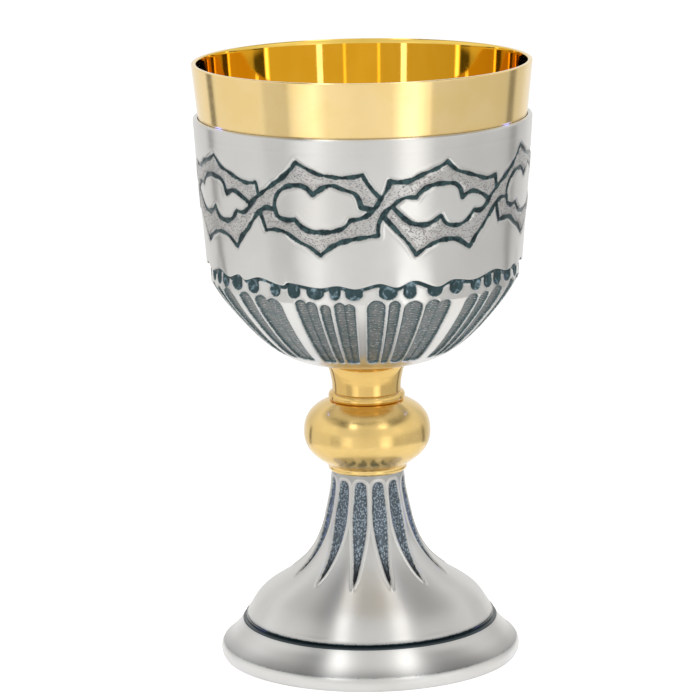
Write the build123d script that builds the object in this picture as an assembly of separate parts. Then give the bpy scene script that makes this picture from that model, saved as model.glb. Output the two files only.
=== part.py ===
"""Communion chalice: a gold-plated spun cup in a silver shell, on a gilt knob and a silver foot.

Millimetres. +Z is up, and the origin is the centre of the foot's underside. Every piece is turned
or spun about Z. One threaded rod, screwed into a boss under the cup, passes down through the neck,
the knob and the top of the foot, and a nut inside the foot draws the whole stack together.
"""

from build123d import *
import os

os.makedirs("parts", exist_ok=True)

# Overall sizes
total_height = 188.0
rim_radius = 52.4
knob_radius = 19.8
foot_radius = 47.1

# Heights of the faces where one piece of the stack sits on the next, from the foot up
ring_seat_z = 12.0
stem_top_z = 59.2
knob_base_z = 61.6
knob_equator_z = 71.0
knob_top_z = 81.4
bead_top_z = 84.2
shell_base_z = 94.5
shell_floor_z = 95.8
cup_base_z = 98.0

# Cup
cup_wall = 1.2
cup_floor_radius = 12.0
lip_base_z = 174.0
lip_base_radius = 51.0
rim_round = 0.3

# Silver shell round the cup: a fluted bowl, and a wall that laps over the bowl's rim
shell_floor_radius = 14.0
shell_hole_radius = 6.2
shell_top_z = 171.3
shell_top_radius = 52.25
shell_mouth_radius = 50.95
shell_edge_round = 0.6
shell_wall_base_z = 126.0
shell_wall_radius = 48.95
shell_lap_radius = 47.8
bowl_band_radius = 47.75
bowl_band_z = 120.6
bowl_rim_radius = 47.05
bowl_rim_z = 128.4

# Gilt neck, knob and collars
collar_radius = 10.75
collar_lip_radius = 13.5
collar_lip_z = 93.8
bead_outer_radius = 12.0
knob_wall = 1.0
knob_plate = 1.2
knob_base_radius = 13.3
knob_top_radius = 12.2
lower_collar_radius = 11.9
collar_bevel = 0.5

# Silver foot
bell_wall = 1.2
bell_edge_radius = 39.9
stem_radius = 11.3
stem_straight_z = 56.2
stem_plate_thickness = 2.6
ring_land_radius = 37.2
groove_inner_radius = 38.9
groove_outer_radius = 40.1
groove_depth = 1.0
ring_shoulder_z = 11.3
ring_edge_z = 4.4
ring_edge_radius = 46.3
ring_hollow_radius = 44.2

# M8 fixings; the threads are plain cylinders of the nominal size
rod_radius = 3.98
thread_radius = 4.0
passing_radius = 4.2
rod_bottom_z = 44.0
rod_top_z = 96.3
rod_chamfer = 1.0
washer_radius = 8.0
washer_thickness = 1.6
spring_washer_radius = 7.4
spring_washer_thickness = 2.0
spring_washer_gap = 1.5
nut_across_flats = 13.0
nut_height = 6.5
nut_face_radius = 6.4
nut_corner_radius = 7.9
nut_chamfer_height = 0.8

# Boss brazed under the cup, and the tube that carries the clamping load through the knob
boss_flange_radius = 9.5
boss_spigot_radius = 5.95
boss_spigot_base_z = 88.0
boss_hole_top_z = 97.0
collar_bore_radius = 6.0
collar_step_z = 87.5
spacer_inner_radius = 4.3
spacer_outer_radius = 6.5

wall_steps = 24
up = (0, 0, 1)
outward = (1, 0, 0)
touching = 1e-6


def at(radius, height):
    """A point of a section, in the half plane that is revolved."""
    return Vector(radius, 0, height)


def section_point(vector):
    """Radius and height of a point in the revolved half plane."""
    return vector.X, vector.Z


def path(*corners):
    """Straight edges through the given points of a section."""
    return Polyline(*[at(*corner) for corner in corners])


def curve(*points, tangents=()):
    """One smooth edge through the given points of a section."""
    return Spline(*[at(*point) for point in points], tangents=tangents)


def arc(start, middle, end):
    """A round edge through three points of a section."""
    return ThreePointArc(at(*start), at(*middle), at(*end))


def quarter_round(start, end, corner):
    """A quarter circle that rounds off a square corner of a section."""
    centre = at(start[0] + end[0] - corner[0], start[1] + end[1] - corner[1])
    radius = (at(*corner) - at(*start)).length
    return ThreePointArc(at(*start), centre + (at(*corner) - centre).normalized() * radius, at(*end))


def inside(outline, wall):
    """The edge one wall thickness to the left of an outline, which is its inner face."""
    points = []
    for step in range(wall_steps + 1):
        along = outline % (step / wall_steps)
        points.append(outline @ (step / wall_steps) + Vector(-along.Z, 0, along.X) * wall)
    return Spline(*points, tangents=(outline % 0, outline % 1))


def turned(*edges):
    """The solid revolved about Z from edges in order round a section, with gaps closed straight."""
    boundary = []
    for edge, following in zip(edges, edges[1:] + edges[:1]):
        boundary += edge.edges()
        if (edge @ 1 - following @ 0).length > touching:
            boundary.append(Line(edge @ 1, following @ 0))
    return Solid.revolve(Face(Wire(boundary)), 360, Axis.Z)


def ring(inner, outer, low, high):
    """A flat-ended ring with a round hole."""
    return turned(path((inner, low), (outer, low), (outer, high), (inner, high)))


def inner_cup():
    """Spun cup with its mirror-polished lip; a narrow flat land runs round the top of the rim."""
    floor = path((0, cup_base_z), (cup_floor_radius, cup_base_z))
    outer = curve(
        (cup_floor_radius, cup_base_z), (22, 99.4), (31, 103.5), (39, 111.6), (44, 118.8), (46.2, 124.5),
        (47.3, 131), (48.5, 145), (49.9, 160), (lip_base_radius, lip_base_z),
        tangents=(outward, (0.1, 0, 1)),
    )
    inner = inside(outer, cup_wall)
    mouth_radius = rim_radius - cup_wall
    shoulder_z = total_height - rim_round
    outer_round = quarter_round(
        (rim_radius, shoulder_z), (rim_radius - rim_round, total_height), (rim_radius, total_height)
    )
    inner_round = quarter_round(
        (mouth_radius + rim_round, total_height), (mouth_radius, shoulder_z), (mouth_radius, total_height)
    )
    inner_floor = path((cup_floor_radius, cup_base_z + cup_wall), (0, cup_base_z + cup_wall))
    return turned(floor, outer, outer_round, inner_round, inner.reversed(), inner_floor)


def cup_boss():
    """Threaded boss brazed to the cup's floor; its spigot centres the shell and the neck."""
    return turned(path(
        (thread_radius, boss_spigot_base_z), (boss_spigot_radius, boss_spigot_base_z),
        (boss_spigot_radius, shell_floor_z), (boss_flange_radius, shell_floor_z),
        (boss_flange_radius, cup_base_z), (0, cup_base_z), (0, boss_hole_top_z),
        (thread_radius, boss_hole_top_z),
    ))


def shell_wall():
    """Plain tapering wall of the silver shell; its lower edge laps over the bowl's rim."""
    foot = path(
        (shell_lap_radius, shell_wall_base_z), (shell_wall_radius - shell_edge_round, shell_wall_base_z)
    )
    lower_edge = quarter_round(
        (shell_wall_radius - shell_edge_round, shell_wall_base_z),
        (shell_wall_radius, shell_wall_base_z + shell_edge_round),
        (shell_wall_radius, shell_wall_base_z),
    )
    outer = curve(
        (shell_wall_radius, shell_wall_base_z + shell_edge_round), (49.85, 138), (50.8, 150),
        (51.65, 161.5), (shell_top_radius, shell_top_z - shell_edge_round),
        tangents=((0.08, 0, 1), (0.04, 0, 1)),
    )
    upper_edge = quarter_round(
        (shell_top_radius, shell_top_z - shell_edge_round),
        (shell_top_radius - shell_edge_round, shell_top_z),
        (shell_top_radius, shell_top_z),
    )
    hollow = curve(
        (shell_mouth_radius, shell_top_z), (50.2, 160), (49.1, 145), (48.2, 134),
        (shell_lap_radius, bowl_rim_z + shell_edge_round),
        tangents=((-0.07, 0, -1), (0, 0, -1)),
    )
    return turned(foot, lower_edge, outer, upper_edge, hollow)


def fluted_bowl():
    """Lower part of the silver shell: a bowl with a flat floor, and a narrow straight band on top."""
    floor = path((shell_hole_radius, shell_base_z), (shell_floor_radius, shell_base_z))
    outer = curve(
        (shell_floor_radius, shell_base_z), (23.6, 96.2), (32.1, 101.6), (40.4, 110.3), (47, 119.4),
        tangents=(outward, (0.57, 0, 1)),
    )
    band = path(
        (bowl_band_radius, bowl_band_z), (bowl_band_radius, bowl_rim_z), (bowl_rim_radius, bowl_rim_z)
    )
    hollow = curve(
        (bowl_rim_radius, bowl_rim_z), (46.7, 124), (44.5, 118), (39.5, 111.2), (31.3, 102.8),
        (23.05, 97.6), (shell_floor_radius, shell_floor_z),
        tangents=((0, 0, -1), (-1, 0, 0)),
    )
    hole_top = path((shell_floor_radius, shell_floor_z), (shell_hole_radius, shell_floor_z))
    return turned(floor, outer, band, hollow, hole_top)


def neck_collar():
    """Gilt neck that flares up to the shell, with a stepped bore over the boss's spigot."""
    bottom = path((passing_radius, bead_top_z), (collar_radius, bead_top_z))
    flare = curve(
        (collar_radius, bead_top_z), (10.8, 86.8), (11.5, 89.3), (12.5, 91.6),
        (collar_lip_radius, collar_lip_z),
        tangents=(up, (0.3, 0, 1)),
    )
    top = path((collar_lip_radius, shell_base_z), (collar_bore_radius, shell_base_z))
    step = path((collar_bore_radius, collar_step_z), (passing_radius, collar_step_z))
    return turned(bottom, flare, top, step)


def neck_ring():
    """Gilt bead between the neck and the knob."""
    flank_radius = bead_outer_radius - (bead_top_z - knob_top_z) / 2
    middle_z = (knob_top_z + bead_top_z) / 2
    bead = arc((flank_radius, knob_top_z), (bead_outer_radius, middle_z), (flank_radius, bead_top_z))
    bore = path((passing_radius, bead_top_z), (passing_radius, knob_top_z))
    return turned(bead, bore)


def knob_upper_half():
    """Upper spun half of the hollow knob, closed by a plate with a hole for the rod."""
    outline = curve(
        (knob_radius, knob_equator_z), (19.15, 75.4), (16.6, 78.9), (knob_top_radius, knob_top_z),
        tangents=(up, (-1, 0, 0.45)),
    )
    inner = inside(outline, knob_wall)
    plate_z = knob_top_z - knob_plate
    return turned(
        outline, path((passing_radius, knob_top_z), (passing_radius, plate_z), section_point(inner @ 1)),
        inner.reversed(),
    )


def knob_lower_half():
    """Lower spun half of the hollow knob, closed by a plate with a hole for the rod."""
    outline = curve(
        (knob_base_radius, knob_base_z), (15.7, 63.4), (18.5, 66.4), (knob_radius, knob_equator_z),
        tangents=((1, 0, 0.9), up),
    )
    inner = inside(outline, knob_wall)
    plate_z = knob_base_z + knob_plate
    return turned(
        outline, inner.reversed(),
        path(section_point(inner @ 0), (passing_radius, plate_z), (passing_radius, knob_base_z)),
    )


def knob_spacer_tube():
    """Tube inside the knob, from plate to plate, that takes the pull of the rod."""
    return ring(spacer_inner_radius, spacer_outer_radius, knob_base_z + knob_plate, knob_top_z - knob_plate)


def lower_collar():
    """Gilt ring between the stem and the knob, flaring up to the knob."""
    bottom = path(
        (passing_radius, stem_top_z), (lower_collar_radius - collar_bevel, stem_top_z),
        (lower_collar_radius, stem_top_z + collar_bevel),
    )
    flare = curve(
        (lower_collar_radius, stem_top_z + collar_bevel), (12.3, 60.6), (knob_base_radius, knob_base_z),
        tangents=(up, (1, 0, 1.1)),
    )
    bore = path((passing_radius, knob_base_z), (passing_radius, stem_top_z))
    return turned(bottom, flare, bore)


def stem_top_plate():
    """Thick plate brazed into the top of the stem, which the rod pulls against."""
    return ring(passing_radius, stem_radius - bell_wall, stem_top_z - stem_plate_thickness, stem_top_z)


def foot_bell():
    """Spun stem and bell-shaped foot in one piece, hollow from below."""
    bell = curve(
        (bell_edge_radius, ring_seat_z - bell_wall), (37.4, 15.4), (34.6, 19.3), (30.3, 22.6),
        (24.7, 26.3), (18.1, 32.9), (14.1, 41.7), (12.2, 49.8), (stem_radius, stem_straight_z),
        tangents=((-0.6, 0, 1), up),
    )
    stem = path((stem_radius, stem_straight_z), (stem_radius, stem_top_z))
    bore = path((stem_radius - bell_wall, stem_top_z), (stem_radius - bell_wall, stem_straight_z))
    spun = turned(bell, stem, bore, inside(bell, bell_wall).reversed())
    return spun - ring(0, foot_radius, 0, ring_seat_z)


def base_ring():
    """Flared ring under the foot, with a seat for the bell, a groove round it and a rounded edge."""
    seat = path((ring_land_radius, ring_seat_z), (groove_inner_radius, ring_seat_z))
    groove = arc(
        (groove_inner_radius, ring_seat_z),
        ((groove_inner_radius + groove_outer_radius) / 2, ring_seat_z - groove_depth),
        (groove_outer_radius, ring_shoulder_z),
    )
    flare = curve(
        (groove_outer_radius, ring_shoulder_z), (41.3, 9.4), (42.8, 7.6), (44.8, 5.6),
        (ring_edge_radius, ring_edge_z),
    )
    lip = arc((ring_edge_radius, ring_edge_z), (foot_radius, ring_edge_z / 2), (ring_edge_radius, 0))
    underside = path(
        (ring_hollow_radius, 0), (ring_hollow_radius, 3.2), (41.4, 6.4), (38.6, 9.2),
        (ring_land_radius, 10.4),
    )
    return turned(seat, groove, flare, lip, underside)


def tie_rod():
    """M8 threaded rod from the boss under the cup to the nut inside the foot."""
    tip_radius = rod_radius - rod_chamfer
    return turned(path(
        (0, rod_bottom_z), (tip_radius, rod_bottom_z), (rod_radius, rod_bottom_z + rod_chamfer),
        (rod_radius, rod_top_z - rod_chamfer), (tip_radius, rod_top_z), (0, rod_top_z),
    ))


def clamp_washer():
    """Flat washer under the stem's top plate."""
    high = stem_top_z - stem_plate_thickness
    return ring(passing_radius, washer_radius, high - washer_thickness, high)


def lock_washer():
    """Split spring washer between the flat washer and the nut."""
    high = stem_top_z - stem_plate_thickness - washer_thickness
    whole = ring(passing_radius, spring_washer_radius, high - spring_washer_thickness, high)
    gap = Box(
        spring_washer_radius, spring_washer_gap, 2 * spring_washer_thickness,
        align=(Align.MIN, Align.CENTER, Align.CENTER),
    )
    return whole - Pos(passing_radius / 2, 0, high - spring_washer_thickness / 2) * gap


def hex_nut():
    """M8 nut with chamfered corners."""
    high = stem_top_z - stem_plate_thickness - washer_thickness - spring_washer_thickness
    low = high - nut_height
    hexagon = RegularPolygon(nut_across_flats / 2, 6, major_radius=False)
    prism = Pos(0, 0, low) * extrude(hexagon - Circle(thread_radius), nut_height)
    chamfered = turned(path(
        (0, low), (nut_face_radius, low), (nut_corner_radius, low + nut_chamfer_height),
        (nut_corner_radius, high - nut_chamfer_height), (nut_face_radius, high), (0, high),
    ))
    return prism & chamfered


pieces = (
    inner_cup, cup_boss, shell_wall, fluted_bowl, neck_collar, neck_ring, knob_upper_half,
    knob_lower_half, knob_spacer_tube, lower_collar, stem_top_plate, foot_bell, base_ring, tie_rod,
    clamp_washer, lock_washer, hex_nut,
)
for piece in pieces:
    export_step(piece(), f"parts/{piece.__name__}.step")
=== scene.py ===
import math

import bmesh
import bpy
import numpy as np
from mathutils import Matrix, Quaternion, Vector
from mathutils.kdtree import KDTree


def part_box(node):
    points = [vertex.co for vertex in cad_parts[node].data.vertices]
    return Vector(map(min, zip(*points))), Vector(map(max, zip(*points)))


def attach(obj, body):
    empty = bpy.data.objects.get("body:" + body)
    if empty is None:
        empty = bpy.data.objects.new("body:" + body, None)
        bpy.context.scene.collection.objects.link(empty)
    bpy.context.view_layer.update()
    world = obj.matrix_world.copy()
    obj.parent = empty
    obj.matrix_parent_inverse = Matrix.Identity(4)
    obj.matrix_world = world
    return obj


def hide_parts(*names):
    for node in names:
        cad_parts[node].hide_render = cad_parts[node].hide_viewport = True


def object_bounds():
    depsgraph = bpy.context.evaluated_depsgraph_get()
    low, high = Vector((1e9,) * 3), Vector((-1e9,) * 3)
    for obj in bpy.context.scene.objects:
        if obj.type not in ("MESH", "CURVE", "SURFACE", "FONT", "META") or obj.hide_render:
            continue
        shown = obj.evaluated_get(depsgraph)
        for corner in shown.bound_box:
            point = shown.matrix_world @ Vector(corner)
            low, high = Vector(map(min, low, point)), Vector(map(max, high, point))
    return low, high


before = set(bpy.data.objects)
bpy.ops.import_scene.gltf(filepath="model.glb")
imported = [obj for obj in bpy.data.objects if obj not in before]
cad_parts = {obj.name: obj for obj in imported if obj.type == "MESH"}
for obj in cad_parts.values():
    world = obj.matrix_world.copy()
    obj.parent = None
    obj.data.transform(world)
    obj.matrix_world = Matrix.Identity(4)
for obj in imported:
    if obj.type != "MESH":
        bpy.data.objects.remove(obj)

# A communion chalice: a gilt cup in a chased silver shell, on a gilt knob and a silver foot.
# Outlines are (radius, height) pairs in millimetres.
# Angles run round the axis from the front, -Y, towards +X.

cad_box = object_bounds()
MM = 0.001
FULL_TURN = 2 * math.pi
SAME_POINT_MM = 0.001
# Stands for any distance too large to matter, in millimetres.
FAR = 5.0


# ---- outlines

def limits(node):
    """Lowest height, highest height and largest radius of a CAD node, in millimetres."""
    low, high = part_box(node)
    return low.z / MM, high.z / MM, high.x / MM


def line(*corners, step=2.0):
    """Points along the straight runs between corners."""
    points = [np.array(corners[:1], float)]
    for start, end in zip(corners, corners[1:]):
        start = np.array(start, float)
        end = np.array(end, float)
        count = max(1, round(np.linalg.norm(end - start) / step))
        share = np.arange(1, count + 1)[:, None] / count
        points.append(start + (end - start) * share)
    return np.vstack(points)


def stepped(start, *corners):
    """Points along straight runs, each corner given as radius, height and the spacing up to it."""
    points = [np.array([start], float)]
    for radius, height, step in corners:
        points.append(line(tuple(points[-1][-1]), (radius, height), step=step)[1:])
    return np.vstack(points)


def end_row(matrix, wanted, row, neighbour, direction, chord, length):
    """One end condition of a spline: a given direction, or no bending."""
    if direction is None:
        matrix[row, row] = 2
        matrix[row, neighbour] = 1
        wanted[row] = 3 * chord / length
    else:
        matrix[row, row] = 1
        wanted[row] = np.array(direction, float) / np.linalg.norm(direction)


def spline(points, start=None, end=None, step=1.0):
    """Points along a cubic spline through the given points, with the given end directions."""
    points = np.array(points, float)
    chords = np.diff(points, axis=0)
    lengths = np.linalg.norm(chords, axis=1)
    count = len(points)
    matrix = np.zeros((count, count))
    wanted = np.zeros((count, 2))
    for i in range(1, count - 1):
        before, after = lengths[i - 1], lengths[i]
        matrix[i, i - 1:i + 2] = after, 2 * (before + after), before
        wanted[i] = 3 * (after * chords[i - 1] / before + before * chords[i] / after)
    end_row(matrix, wanted, 0, 1, start, chords[0], lengths[0])
    end_row(matrix, wanted, count - 1, count - 2, end, chords[-1], lengths[-1])
    slopes = np.linalg.solve(matrix, wanted)
    out = [points[:1]]
    for i in range(count - 1):
        pieces = max(1, round(lengths[i] / step))
        t = np.arange(1, pieces + 1)[:, None] / pieces
        out.append(
            (2 * t**3 - 3 * t**2 + 1) * points[i] + (3 * t**2 - 2 * t**3) * points[i + 1]
            + ((t**3 - 2 * t**2 + t) * slopes[i] + (t**3 - t**2) * slopes[i + 1]) * lengths[i]
        )
    return np.vstack(out)


def swing(centre, start, end, inside_turn, pieces):
    """Points on a circle round centre from start to end, with or against the short way round."""
    start = np.array(start, float) - centre
    end = np.array(end, float) - centre
    first = math.atan2(start[1], start[0])
    sweep = (math.atan2(end[1], end[0]) - first) % FULL_TURN
    if inside_turn:
        sweep -= FULL_TURN
    angles = first + sweep * np.arange(pieces + 1) / pieces
    return centre + np.linalg.norm(start) * np.stack([np.cos(angles), np.sin(angles)], 1)


def arc(start, middle, end, pieces=8):
    """Points on the circle through three points."""
    a, b, c = complex(*start), complex(*middle), complex(*end)
    w = (c - a) / (b - a)
    centre = a + (b - a) * (w - abs(w) ** 2) / (2j * w.imag)
    return swing(np.array([centre.real, centre.imag]), start, end, w.imag < 0, pieces)


def corner(start, tip, end, pieces=4):
    """A quarter circle from start to end that rounds off the square corner at tip."""
    start, tip, end = (np.array(p, float) for p in (start, tip, end))
    first, second = tip - start, end - tip
    clockwise = first[0] * second[1] - first[1] * second[0] < 0
    return swing(start + end - tip, start, end, clockwise, pieces)


def outward_of(points, closed):
    """Unit vectors that point out of a section that runs anticlockwise."""
    if closed:
        along = np.roll(points, -1, 0) - np.roll(points, 1, 0)
    else:
        along = np.gradient(points, axis=0)
    along /= np.linalg.norm(along, axis=1)[:, None]
    return np.stack([along[:, 1], -along[:, 0]], 1)


def inside(points, wall):
    """The same run, moved inwards by a wall's thickness and turned end for end."""
    return (points - outward_of(points, False) * wall)[::-1]


def section(*runs):
    """One closed section from its runs, without the points that neighbouring runs share."""
    points = np.vstack(runs)
    return points[np.linalg.norm(points - np.roll(points, 1, axis=0), axis=1) > SAME_POINT_MM]


def run_length(points):
    """Length along a run of points, from its first point."""
    return np.concatenate([[0], np.cumsum(np.linalg.norm(np.diff(points, axis=0), axis=1))])


def smoothstep(low, high, value):
    """0 below low, 1 above high, and a smooth change between them."""
    t = np.clip((value - low) / (high - low), 0, 1)
    return t * t * (3 - 2 * t)


def ridge(value, middle, width):
    """A smooth bump that is 1 where value is at the middle."""
    return np.exp(-(((value - middle) / width) ** 2))


def between_rows(outline, first, last):
    """A column that says which rows of an outline run from first to last."""
    rows = np.arange(len(outline))[:, None]
    return (rows >= first) & (rows <= last)


# ---- meshes

SMALL_COLUMNS = 256
LARGE_COLUMNS = 384


def column_angles(columns):
    """Angle of each column of a turned mesh, with the seam at the back."""
    return (np.arange(columns) / columns - 0.5) * FULL_TURN


def grid_faces(rows, columns, closed):
    """Four-sided faces of a grid that goes all the way round, rows joined end to end if closed."""
    above = np.arange(rows if closed else rows - 1)[:, None]
    across = np.arange(columns)[None, :]
    next_row = (above + 1) % rows * columns
    next_column = (across + 1) % columns
    corners = (
        above * columns + across, above * columns + next_column,
        next_row + next_column, next_row + across,
    )
    return np.stack(np.broadcast_arrays(*corners), -1).reshape(-1, 4)


def turned_mesh(name, outline, columns, relief=0.0, lift=0.0, fields=None, closed=True, sharp=35.0):
    """A mesh of revolution. relief moves it outwards and lift moves it up, by row and column.

    An open outline starts and ends on the axis, where each end becomes one point.
    """
    angles = column_angles(columns)[None, :]
    normal = outward_of(outline, closed)
    radius = outline[:, :1] + normal[:, :1] * relief + 0 * angles
    height = outline[:, 1:] + normal[:, 1:] * relief + lift + 0 * angles
    points = np.stack([radius * np.sin(angles), -radius * np.cos(angles), height], -1)
    faces = grid_faces(len(outline), columns, closed).tolist()
    points = points.reshape(-1, 3) * MM
    mesh = bpy.data.meshes.new(name)
    mesh.from_pydata(points.tolist(), [], faces)
    for field, values in (fields or {}).items():
        layer = mesh.attributes.new(field, "FLOAT", "POINT")
        layer.data.foreach_set("value", np.broadcast_to(values, height.shape).astype(np.float32).ravel())
    if not closed:
        close_on_axis(mesh)
    mesh.validate()
    mesh.polygons.foreach_set("use_smooth", [True] * len(mesh.polygons))
    mesh.set_sharp_from_angle(angle=math.radians(sharp))
    return mesh


def close_on_axis(mesh):
    """Merges the points that lie on the axis at each end into one."""
    work = bmesh.new()
    work.from_mesh(mesh)
    bmesh.ops.remove_doubles(work, verts=work.verts, dist=SAME_POINT_MM * MM / 10)
    work.to_mesh(mesh)
    work.free()


def piece(name, mesh, material, slot, *nodes):
    """Makes an object of the mesh with the given material, which stands for CAD nodes and hides them. slot is
    not used.
    """
    made = bpy.data.objects.new(name, mesh)
    bpy.context.scene.collection.objects.link(made)
    mesh.materials.append(material)
    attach(made, "root")
    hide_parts(*nodes)


def turned_piece(name, outline, columns, material, slot, node, **shape):
    """A turned mesh that stands for one CAD node."""
    mesh = turned_mesh(name, outline, columns, **shape)
    piece(name, mesh, material, slot, node)
    return mesh


# ---- materials

class Nodes:
    """A node tree, with one method for each kind of node that this file uses."""

    def __init__(self, tree):
        self.tree = tree

    def node(self, kind, settings=(), **inputs):
        made = self.tree.nodes.new(kind)
        for key, value in dict(settings).items():
            setattr(made, key, value)
        for key, value in inputs.items():
            self.feed(made.inputs[key.replace("_", " ")], value)
        return made

    def feed(self, socket, value):
        if isinstance(value, bpy.types.NodeSocket):
            self.tree.links.new(value, socket)
        else:
            socket.default_value = value

    def math(self, operation, first, second=0.0, third=0.0):
        made = self.node("ShaderNodeMath", {"operation": operation})
        for socket, value in zip(made.inputs, (first, second, third)):
            self.feed(socket, value)
        return made.outputs[0]

    def times(self, first, second):
        return self.math("MULTIPLY", first, second)

    def field(self, name):
        return self.node("ShaderNodeAttribute", {"attribute_name": name}).outputs["Fac"]

    def place(self, scale=(1000.0, 1000.0, 1000.0)):
        """The point on the object times scale: in millimetres, unless scale says otherwise."""
        coordinates = self.node("ShaderNodeTexCoord").outputs["Object"]
        return self.node("ShaderNodeMapping", Vector=coordinates, Scale=scale).outputs[0]

    def vector(self, x, y):
        return self.node("ShaderNodeCombineXYZ", X=x, Y=y).outputs[0]

    def noise(self, where, scale, detail=2.0, rough=0.5):
        made = self.node("ShaderNodeTexNoise", Vector=where, Scale=scale, Detail=detail, Roughness=rough)
        return made.outputs["Fac"]

    def cells(self, where, scale):
        return self.node("ShaderNodeTexVoronoi", Vector=where, Scale=scale).outputs["Distance"]

    def ramp(self, value, low, high, low_out=0.0, high_out=1.0):
        made = self.node(
            "ShaderNodeMapRange", {"interpolation_type": "SMOOTHSTEP"},
            Value=value, From_Min=low, From_Max=high, To_Min=low_out, To_Max=high_out,
        )
        return made.outputs[0]

    def mix(self, share, first, second):
        """A mix of two colours."""
        made = self.node("ShaderNodeMix", {"data_type": "RGBA"})
        colours = [socket for socket in made.inputs if socket.type == "RGBA"]
        for socket, value in zip((made.inputs[0], *colours), (share, first, second)):
            self.feed(socket, value)
        return [socket for socket in made.outputs if socket.type == "RGBA"][0]

    def choose(self, share, first, second):
        """A mix of two shaders."""
        made = self.tree.nodes.new("ShaderNodeMixShader")
        for socket, value in zip(made.inputs, (share, first, second)):
            self.feed(socket, value)
        return made.outputs[0]

    def bump(self, height, strength, distance_mm, under=None):
        made = self.node("ShaderNodeBump", Height=height, Strength=strength, Distance=distance_mm * MM)
        if under is not None:
            self.feed(made.inputs["Normal"], under)
        return made.outputs[0]


class Graph(Nodes):
    """A material's node tree, round its main shader."""

    def __init__(self, name):
        self.material = bpy.data.materials.new(name)
        self.material.use_nodes = True
        super().__init__(self.material.node_tree)
        self.shader = self.tree.nodes["Principled BSDF"]

    def finish(self, **inputs):
        for key, value in inputs.items():
            self.feed(self.shader.inputs[key.replace("_", " ")], value)
        return self.material


def colour(red, green, blue):
    """A display colour, 0 to 255, as the linear colour that the shader takes."""
    def linear(value):
        value /= 255
        return value / 12.92 if value <= 0.04045 else ((value + 0.055) / 1.055) ** 2.4
    return (linear(red), linear(green), linear(blue), 1.0)


PATINA = colour(62, 84, 86)
PATINA_DEEP = colour(34, 50, 54)
GROOVE_DARK = colour(30, 54, 62)
RECESS_DARK = colour(58, 78, 82)
SILVER = colour(222, 222, 220)
SILVER_WARM = colour(217, 215, 211)
GOLD = colour(249, 220, 158)
GOLD_DEEP = colour(247, 216, 148)
INSIDE_GOLD = colour(242, 207, 106)
INSIDE_GOLD_DEEP = colour(240, 203, 98)
STEM_GOLD = colour(234, 202, 133)
STEM_GOLD_DEEP = colour(230, 197, 126)
NECK_GOLD = colour(228, 192, 118)
NECK_GOLD_DEEP = colour(225, 187, 112)
# A quarter turn of the shader's spread, which draws highlights out along the outline.
ACROSS_THE_TURNING = 0.25
HATCH_PITCH = 0.72
# Grain of the chased work, in cells per millimetre.
STIPPLE_GRAIN = 2.3
HATCH_GRAIN = 1.15
RAY_GRAIN = 1.9


def gold_plate(name, light, deep, roughness, spread, ring_strength):
    """Polished gold plate: faint turning rings, a slightly uneven colour and fine wiping marks."""
    g = Graph(name)
    rings = g.noise(g.place((60.0, 60.0, 3500.0)), 1.0, 3.0)
    swirl = g.noise(g.place((90.0, 90.0, 90.0)), 1.0, 3.0)
    base = g.mix(g.ramp(swirl, 0.35, 0.65), light, deep)
    wiped = g.noise(g.place((300.0, 300.0, 900.0)), 1.0, 4.0)
    gloss = g.ramp(wiped, 0.3, 0.8, roughness * 0.8, roughness * 1.5)
    return g.finish(
        Base_Color=base, Metallic=1.0, Roughness=gloss,
        Anisotropic=spread, Anisotropic_Rotation=ACROSS_THE_TURNING,
        Normal=g.bump(rings, ring_strength, 0.02),
    )


def satin_silver(g, edge, dark_colour):
    """Satin silver plate that turns to patina where edge, in millimetres, is above zero."""
    drift = g.noise(g.place((40.0, 40.0, 40.0)), 1.0, 3.0)
    clean = g.mix(g.ramp(drift, 0.3, 0.7), SILVER, SILVER_WARM)
    ragged = g.math("MULTIPLY_ADD", g.noise(g.place(), 1.3, 3.0), 0.5, -0.25)
    dark = g.ramp(g.math("ADD", edge, ragged), -0.12, 0.22)
    smudge = g.ramp(g.math("ADD", edge, ragged), -1.1, 0.2, 0.0, 0.32)
    tint = g.mix(smudge, clean, colour(140, 146, 146))
    return g.mix(dark, tint, dark_colour), dark


def spun_lines(g, strength, distance_mm=0.05):
    """Bump of the fine lines left by spinning and brushing round the axis."""
    return g.bump(g.noise(g.place((150.0, 150.0, 9000.0)), 1.0, 3.0, 0.6), strength, distance_mm)


def silver_finish(g, base, dark, tarnished, roughness, spread, normal):
    """Finishes silver plate that is less metallic where dark, with highlights drawn out by spread."""
    return g.finish(
        Base_Color=base, Metallic=g.ramp(dark, 0.0, 1.0, 1.0, tarnished), Roughness=roughness,
        Anisotropic=spread, Anisotropic_Rotation=ACROSS_THE_TURNING, Normal=normal,
    )


def chased_wall_silver():
    """Plain satin wall with dark grooves, and a stippled fill in the thorn strands."""
    g = Graph("chased_wall_silver")
    edge = g.field("edge_mm")
    dark_colour = g.mix(g.ramp(g.noise(g.place(), 0.5), 0.35, 0.65), PATINA, PATINA_DEEP)
    base, dark = satin_silver(g, edge, dark_colour)
    strand = g.field("strand")
    where = g.vector(g.times(g.field("along_mm"), 0.6), g.field("height_mm"))
    pits = g.times(g.ramp(g.cells(where, STIPPLE_GRAIN), 0.46, 0.18), strand)
    base = g.mix(g.times(strand, 0.16), base, colour(150, 142, 142))
    base = g.mix(g.times(pits, 0.65), base, colour(112, 105, 110))
    punched = g.bump(g.math("SUBTRACT", 0.0, pits), 0.7, 0.22, spun_lines(g, 0.12))
    return silver_finish(g, base, dark, 0.75, g.ramp(strand, 0.0, 1.0, 0.33, 0.42), 1.0, punched)


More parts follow.
